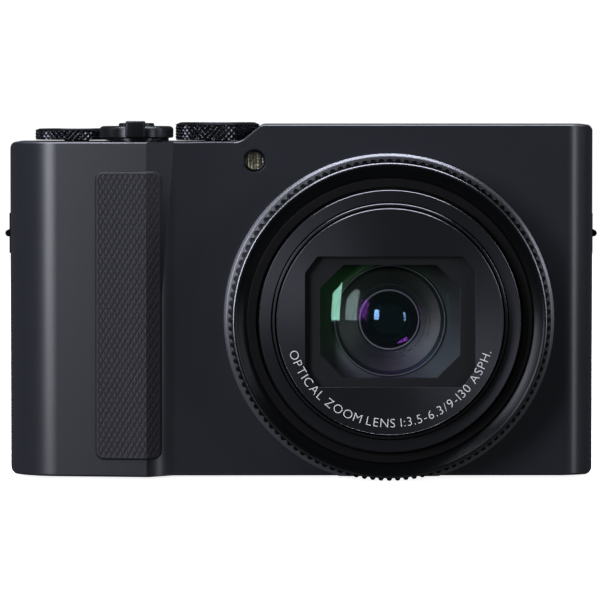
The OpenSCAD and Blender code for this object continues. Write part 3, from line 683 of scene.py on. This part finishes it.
edge_grey = moulded("ground_edge_grey", "#6f7377", 0.3, depth=0.0)
edge_dim = moulded("ground_edge_dim", "#2c3130", 0.4, depth=0.0)
# Painted reflections and painted shade: the hues that the coated glass reflects from the lights, and the dark
# between them, painted round the lens axis on each cell.
outer_cell_painted_reflection = fan("cell_painted_reflection_outer", ["#3a5a42", "#45484e", "#3b3548", "#5c636c",
                                       "#3e4249", "#15191a", "#0f3a12", "#225a2c"])
middle_cell_painted_reflection = fan("cell_painted_reflection_middle", ["#243430", "#15191f", "#22182e", "#20283a",
                                        "#101216", "#070708", "#080909", "#16201c"])
core_cell_painted_reflection = fan("cell_painted_reflection_core", ["#1f2c33", "#0e0c12", "#3a1420", "#281032",
                                     "#180f22", "#08080c", "#0e181a", "#48606a"])
cut_edge = plated("bright_cut_edge", "#595a5e", "#707176", 0.28)
edge_lilac = moulded("ground_edge_lilac", "#7f7d8c", 0.3, depth=0.0)
pale_ink = moulded("grey_ink", "#b9bbbd", 0.6, depth=0.002)

pads()
knurled("mode_dial", "mode_dial_knurled", 47, 0.25, 3.15, 0.36, (1.0, 0.5))
knurled("rear_dial", "rear_dial_knurled", 46, 0.25, 2.05, 0.32, (0.8, 0.35))
zoom_lever()
dished_button("shutter_button", satin_metal, 3.38, 3.55, 1.4)
dished_button("movie_button", button, 1.98, 0.68, -0.4, dish=0.1, edge=0.2)
control_ring()
optics()
focus_lamp()
lcd_panel()
EDGE_WIDTHS = [          # each rounded edge's width in mm, and the pieces that have it
    (0.42, "front_cover rear_cover"),
    (0.35, "top_cover"),
    (0.2, "bottom_cover"),
    (0.25, "lens_flange"),
    (0.12, "outer_barrel"),
    (0.1, "middle_barrel front_barrel name_ring"),
    (0.08, "lens_baffle"),
    (0.12, "lens_housing"),
    (0.5, "eyecup"),
    (0.15, "flash_head lcd_glass battery_door terminal_door"),
    (0.25, "four_way_pad set_button"),
    (0.2, "play_button function_button delete_button display_button finder_button diopter_dial"),
    (0.15, "power_switch flash_switch"),
]
for width, nodes in EDGE_WIDTHS:
    for node in nodes.split():
        softened(node, width)

print_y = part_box("name_ring")[0].y - 0.004 * MM
letters("ring_print", "OPTICAL ZOOM LENS 1:3.5-6.3/9-130 ASPH.", BARREL, under_the_lens(19.7, print_y), 2.4,
        "black_aluminium")
for node, mark in {"play_button": "▶", "function_button": "F", "delete_button": "X", "display_button": "i",
                   "set_button": "OK"}.items():
    spot, face = middle(node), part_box(node)[1].y + 0.004 * MM
    stamp(node + "_mark", mark, 1.9, body_of(node), slot_of(node), spot.x / MM, spot.z / MM - 0.65, face)
dial, rim = middle("mode_dial"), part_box("mode_dial")[1].z
for turn, mark in enumerate("PASM12+o"):
    a = math.radians(45 * turn)
    place = on_the_top(dial.x + 5.6 * MM * math.sin(a), dial.y - 5.6 * MM * math.cos(a), rim - 0.11 * MM, a)
    letters("dial_mark_%d" % turn, mark, body_of("mode_dial"), place, 2.0, slot_of("mode_dial"))


# ---------------------------------------------------------------- studio

def camera():
    """A long lens 0.9 m in front, a little above the camera body and tilted down at it."""
    data = bpy.data.cameras.new("camera")
    distance, aim_z, eye_z, across = 0.9, 33.8 * MM, 73.5 * MM, -0.2 * MM
    data.sensor_width = 36
    data.lens = data.sensor_width * math.hypot(distance, eye_z - aim_z) / (113.4 * MM)
    eye = bpy.data.objects.new("camera", data)
    eye.location = (across, FRONT_Y - distance, eye_z)
    eye.rotation_euler = (math.pi / 2 - math.atan2(eye_z - aim_z, distance), 0, 0)
    data.clip_end = 50
    bpy.context.scene.collection.objects.link(eye)
    bpy.context.scene.camera = eye


def light(name, place, towards, sides, power, colour="#ffffff"):
    """A rectangular soft light, its sides in metres and its power in watts, aimed at a point."""
    data = bpy.data.lights.new(name, "AREA")
    data.shape = "RECTANGLE"
    data.size, data.size_y = sides
    data.energy = power
    data.color = linear(colour)[:3]
    lamp = bpy.data.objects.new(name, data)
    lamp.location = place
    lamp.rotation_euler = (Vector(towards) - Vector(place)).to_track_quat("-Z", "Y").to_euler()
    bpy.context.scene.collection.objects.link(lamp)


def studio():
    """A white bowl for a floor and a backdrop, with soft lights at the left, at the right and above."""
    bm = bmesh.new()
    flat, bend, tall = 1900, 600, 1800
    curve = bow(flat, bend, bend, -bend, range(10, 91, 10))
    spun(bm, [(0, 0), (flat, 0)] + curve + [(flat + bend, tall)], 64, (0, 0, 0), "Z")
    inside = Vector((0, 0, 1.2))
    outward = [f for f in bm.faces if f.normal.dot(inside - f.calc_center_median()) < 0]
    bmesh.ops.reverse_faces(bm, faces=outward)
    mesh = bpy.data.meshes.new("floor")
    bm.to_mesh(mesh)
    bm.free()
    mesh.shade_smooth()
    floor = bpy.data.objects.new("floor", mesh)
    bpy.context.scene.collection.objects.link(floor)
    paper, tree, shader, place = finish("seamless_paper", "#f2f2f2", Roughness=0.9)
    shader.inputs["Emission Color"].default_value = (1, 1, 1, 1)
    shader.inputs["Emission Strength"].default_value = 0.9
    mesh.materials.append(paper)
    floor.visible_glossy = False
    floor.visible_diffuse = False
    cool = "#f0f3ff"
    light("key_left", (-0.56, -0.72, 0.22), (0, 0, 0.03), (0.24, 0.47), 5.4, cool)
    light("high_left", (-0.45, -0.5, 0.75), (0, 0, 0.03), (0.3, 0.3), 3, cool)
    light("side_left", (-0.95, -0.05, 0.5), (-0.03, 0, 0.03), (0.3, 0.5), 0.8, cool)
    light("right", (0.74, -0.58, 0.12), (0, 0, 0.03), (0.18, 0.4), 1.7, cool)
    light("far_right", (1.0, -0.14, 0.4), (0, 0, 0.04), (0.3, 0.4), 1.6, cool)
    light("top", (0, 0.1, 0.85), (0, 0, 0.06), (0.9, 0.4), 16, cool)
    world = bpy.data.worlds.new("room")
    world.use_nodes = True
    world.node_tree.nodes["Background"].inputs["Color"].default_value = (1, 1, 1, 1)
    world.node_tree.nodes["Background"].inputs["Strength"].default_value = 0.06
    bpy.context.scene.world = world
    bpy.context.scene.view_settings.view_transform = "Standard"


camera()
studio()
